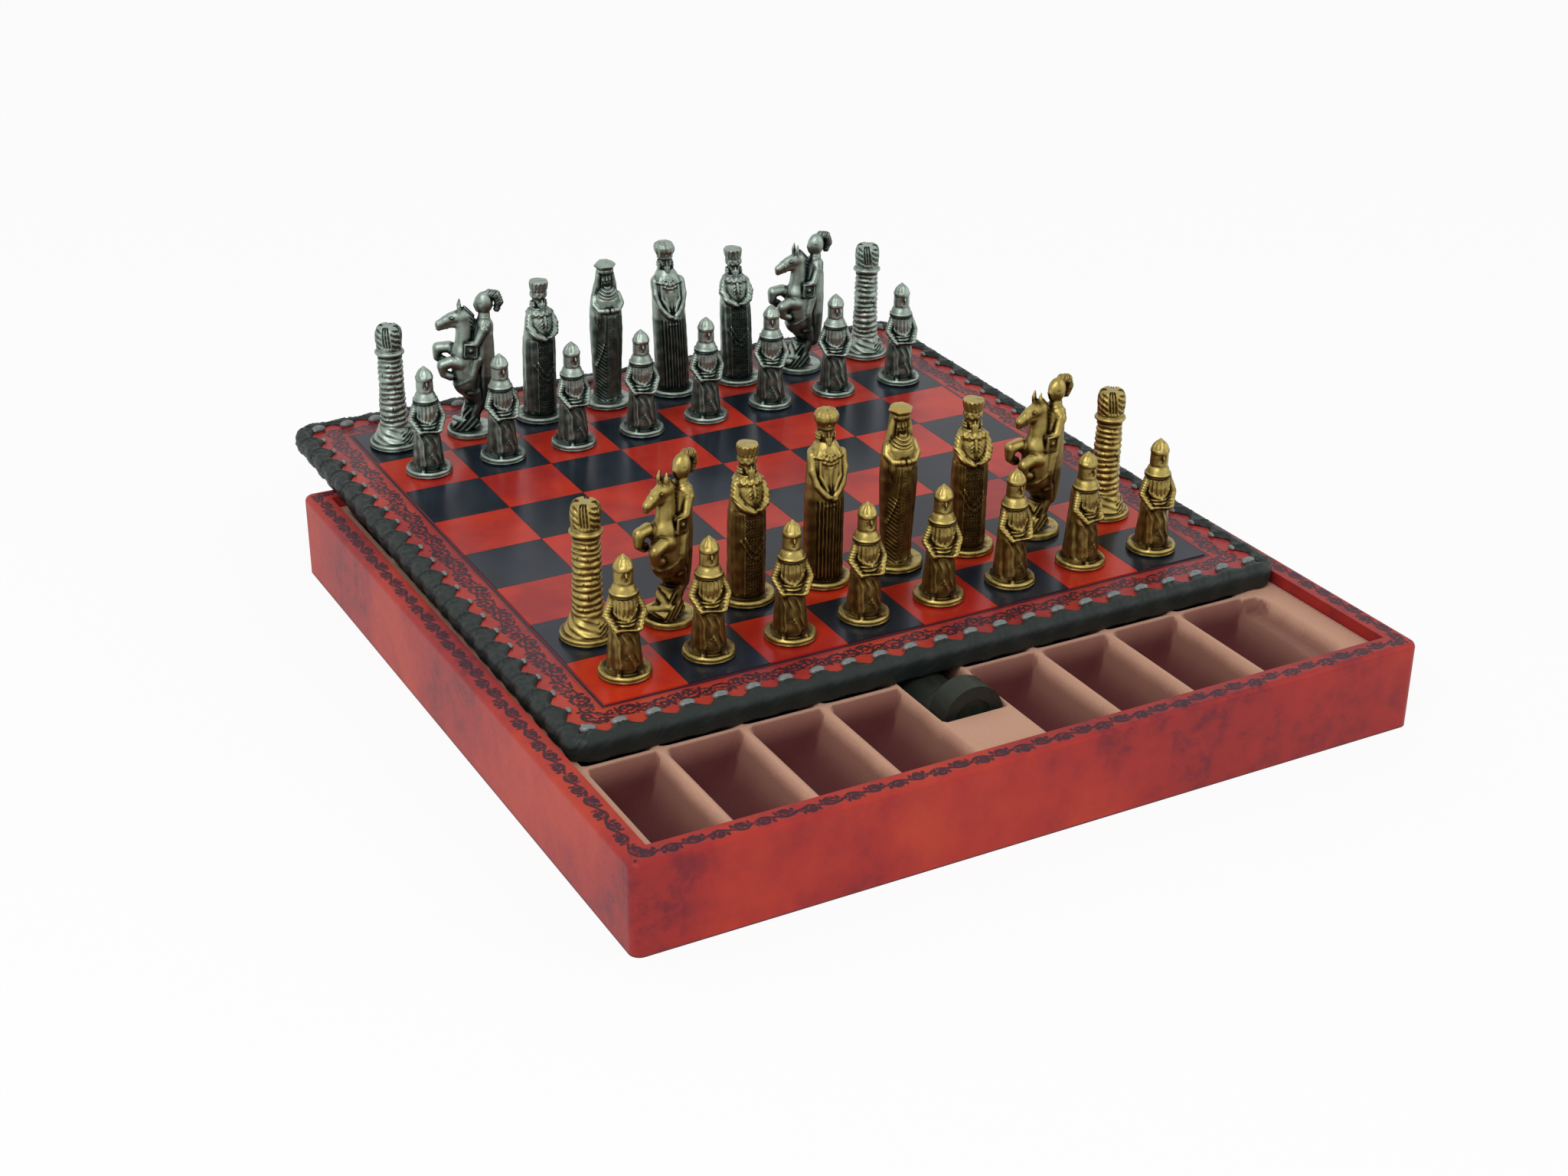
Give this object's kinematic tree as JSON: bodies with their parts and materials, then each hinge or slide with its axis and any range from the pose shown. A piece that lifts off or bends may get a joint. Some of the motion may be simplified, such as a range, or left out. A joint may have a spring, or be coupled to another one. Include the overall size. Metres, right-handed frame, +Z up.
{
  "type": "chess storage case",
  "caption": "Square leather-covered storage case with a channelled tray, a leather-laced chessboard laid across it and cast metal chessmen standing on the board.",
  "frame": {"origin": "centre of the case's flat underside", "axes": "+Z up, +Y towards the back, where the board overhangs, +X to the right of a player at the front"},
  "size_m": [0.28, 0.3217, 0.1004],
  "materials": {
    "carcass_wood": "plain softwood, hidden under the cover",
    "carcass_board": "hardboard, hidden under the cover",
    "base_paper": "matte dark red embossed paper",
    "red_leather": "semi-gloss mottled oxblood with dark tooled scroll",
    "flocked_tray": "formed sheet with beige flock",
    "dark_draught": "satin dark green-black",
    "light_draught": "satin cream",
    "board_core": "hardboard, hidden",
    "board_lining": "matte dark red lining paper",
    "board_leather": "semi-gloss red with dark tooled scroll",
    "red_square": "glossy mottled red",
    "black_square": "glossy navy black",
    "black_leather": "satin dark green-black, creased",
    "antique_gold": "antique brass plating with brown patina",
    "antique_silver": "antique pewter plating with dark patina"
  },
  "bodies": {
    "case": {"front_wall": "carcass_wood", "back_wall": "carcass_wood", "left_wall": "carcass_wood", "right_wall": "carcass_wood", "bottom_panel": "carcass_board", "base_cover": "base_paper", "case_cover": "red_leather", "tray_insert": "flocked_tray", "dark_draughts": "dark_draught", "light_draughts": "light_draught"},
    "front_draught": {"front_draught": "dark_draught"},
    "second_draught": {"second_draught": "dark_draught"},
    "board": {"board_core": "board_core", "board_lining": "board_lining", "board_leather": "board_leather", "red_squares": "red_square", "black_squares": "black_square", "edge_binding": "black_leather", "edge_lacing": "black_leather"},
    "gold_pawn_1": {"gold_pawn_1": "antique_gold"},
    "gold_pawn_2": {"gold_pawn_2": "antique_gold"},
    "gold_pawn_3": {"gold_pawn_3": "antique_gold"},
    "gold_pawn_4": {"gold_pawn_4": "antique_gold"},
    "gold_pawn_5": {"gold_pawn_5": "antique_gold"},
    "gold_pawn_6": {"gold_pawn_6": "antique_gold"},
    "gold_pawn_7": {"gold_pawn_7": "antique_gold"},
    "gold_pawn_8": {"gold_pawn_8": "antique_gold"},
    "gold_rook_1": {"gold_rook_1": "antique_gold"},
    "gold_knight_1": {"gold_knight_1": "antique_gold"},
    "gold_bishop_1": {"gold_bishop_1": "antique_gold"},
    "gold_king": {"gold_king": "antique_gold"},
    "gold_queen": {"gold_queen": "antique_gold"},
    "gold_bishop_2": {"gold_bishop_2": "antique_gold"},
    "gold_knight_2": {"gold_knight_2": "antique_gold"},
    "gold_rook_2": {"gold_rook_2": "antique_gold"},
    "silver_pawn_1": {"silver_pawn_1": "antique_silver"},
    "silver_pawn_2": {"silver_pawn_2": "antique_silver"},
    "silver_pawn_3": {"silver_pawn_3": "antique_silver"},
    "silver_pawn_4": {"silver_pawn_4": "antique_silver"},
    "silver_pawn_5": {"silver_pawn_5": "antique_silver"},
    "silver_pawn_6": {"silver_pawn_6": "antique_silver"},
    "silver_pawn_7": {"silver_pawn_7": "antique_silver"},
    "silver_pawn_8": {"silver_pawn_8": "antique_silver"},
    "silver_rook_1": {"silver_rook_1": "antique_silver"},
    "silver_knight_1": {"silver_knight_1": "antique_silver"},
    "silver_bishop_1": {"silver_bishop_1": "antique_silver"},
    "silver_queen": {"silver_queen": "antique_silver"},
    "silver_king": {"silver_king": "antique_silver"},
    "silver_bishop_2": {"silver_bishop_2": "antique_silver"},
    "silver_knight_2": {"silver_knight_2": "antique_silver"},
    "silver_rook_2": {"silver_rook_2": "antique_silver"}
  },
  "joints": [
    {"name": "front_draught_lift", "type": "slide", "parent": "case", "child": "front_draught", "axis": [0, 0, 1], "range_m": [0, 0.03]},
    {"name": "second_draught_lift", "type": "slide", "parent": "case", "child": "second_draught", "axis": [0, 0, 1], "range_m": [0, 0.03]},
    {"name": "board_lift", "type": "slide", "parent": "case", "child": "board", "axis": [0, 0, 1], "range_m": [0, 0.04]},
    {"name": "gold_pawn_1_lift", "type": "slide", "parent": "board", "child": "gold_pawn_1", "axis": [0, 0, 1], "range_m": [0, 0.07]},
    {"name": "gold_pawn_2_lift", "type": "slide", "parent": "board", "child": "gold_pawn_2", "axis": [0, 0, 1], "range_m": [0, 0.07]},
    {"name": "gold_pawn_3_lift", "type": "slide", "parent": "board", "child": "gold_pawn_3", "axis": [0, 0, 1], "range_m": [0, 0.07]},
    {"name": "gold_pawn_4_lift", "type": "slide", "parent": "board", "child": "gold_pawn_4", "axis": [0, 0, 1], "range_m": [0, 0.07]},
    {"name": "gold_pawn_5_lift", "type": "slide", "parent": "board", "child": "gold_pawn_5", "axis": [0, 0, 1], "range_m": [0, 0.07]},
    {"name": "gold_pawn_6_lift", "type": "slide", "parent": "board", "child": "gold_pawn_6", "axis": [0, 0, 1], "range_m": [0, 0.07]},
    {"name": "gold_pawn_7_lift", "type": "slide", "parent": "board", "child": "gold_pawn_7", "axis": [0, 0, 1], "range_m": [0, 0.07]},
    {"name": "gold_pawn_8_lift", "type": "slide", "parent": "board", "child": "gold_pawn_8", "axis": [0, 0, 1], "range_m": [0, 0.07]},
    {"name": "gold_rook_1_lift", "type": "slide", "parent": "board", "child": "gold_rook_1", "axis": [0, 0, 1], "range_m": [0, 0.07]},
    {"name": "gold_knight_1_lift", "type": "slide", "parent": "board", "child": "gold_knight_1", "axis": [0, 0, 1], "range_m": [0, 0.07]},
    {"name": "gold_bishop_1_lift", "type": "slide", "parent": "board", "child": "gold_bishop_1", "axis": [0, 0, 1], "range_m": [0, 0.07]},
    {"name": "gold_king_lift", "type": "slide", "parent": "board", "child": "gold_king", "axis": [0, 0, 1], "range_m": [0, 0.07]},
    {"name": "gold_queen_lift", "type": "slide", "parent": "board", "child": "gold_queen", "axis": [0, 0, 1], "range_m": [0, 0.07]},
    {"name": "gold_bishop_2_lift", "type": "slide", "parent": "board", "child": "gold_bishop_2", "axis": [0, 0, 1], "range_m": [0, 0.07]},
    {"name": "gold_knight_2_lift", "type": "slide", "parent": "board", "child": "gold_knight_2", "axis": [0, 0, 1], "range_m": [0, 0.07]},
    {"name": "gold_rook_2_lift", "type": "slide", "parent": "board", "child": "gold_rook_2", "axis": [0, 0, 1], "range_m": [0, 0.07]},
    {"name": "silver_pawn_1_lift", "type": "slide", "parent": "board", "child": "silver_pawn_1", "axis": [0, 0, 1], "range_m": [0, 0.07]},
    {"name": "silver_pawn_2_lift", "type": "slide", "parent": "board", "child": "silver_pawn_2", "axis": [0, 0, 1], "range_m": [0, 0.07]},
    {"name": "silver_pawn_3_lift", "type": "slide", "parent": "board", "child": "silver_pawn_3", "axis": [0, 0, 1], "range_m": [0, 0.07]},
    {"name": "silver_pawn_4_lift", "type": "slide", "parent": "board", "child": "silver_pawn_4", "axis": [0, 0, 1], "range_m": [0, 0.07]},
    {"name": "silver_pawn_5_lift", "type": "slide", "parent": "board", "child": "silver_pawn_5", "axis": [0, 0, 1], "range_m": [0, 0.07]},
    {"name": "silver_pawn_6_lift", "type": "slide", "parent": "board", "child": "silver_pawn_6", "axis": [0, 0, 1], "range_m": [0, 0.07]},
    {"name": "silver_pawn_7_lift", "type": "slide", "parent": "board", "child": "silver_pawn_7", "axis": [0, 0, 1], "range_m": [0, 0.07]},
    {"name": "silver_pawn_8_lift", "type": "slide", "parent": "board", "child": "silver_pawn_8", "axis": [0, 0, 1], "range_m": [0, 0.07]},
    {"name": "silver_rook_1_lift", "type": "slide", "parent": "board", "child": "silver_rook_1", "axis": [0, 0, 1], "range_m": [0, 0.07]},
    {"name": "silver_knight_1_lift", "type": "slide", "parent": "board", "child": "silver_knight_1", "axis": [0, 0, 1], "range_m": [0, 0.07]},
    {"name": "silver_bishop_1_lift", "type": "slide", "parent": "board", "child": "silver_bishop_1", "axis": [0, 0, 1], "range_m": [0, 0.07]},
    {"name": "silver_queen_lift", "type": "slide", "parent": "board", "child": "silver_queen", "axis": [0, 0, 1], "range_m": [0, 0.07]},
    {"name": "silver_king_lift", "type": "slide", "parent": "board", "child": "silver_king", "axis": [0, 0, 1], "range_m": [0, 0.07]},
    {"name": "silver_bishop_2_lift", "type": "slide", "parent": "board", "child": "silver_bishop_2", "axis": [0, 0, 1], "range_m": [0, 0.07]},
    {"name": "silver_knight_2_lift", "type": "slide", "parent": "board", "child": "silver_knight_2", "axis": [0, 0, 1], "range_m": [0, 0.07]},
    {"name": "silver_rook_2_lift", "type": "slide", "parent": "board", "child": "silver_rook_2", "axis": [0, 0, 1], "range_m": [0, 0.07]}
  ]
}
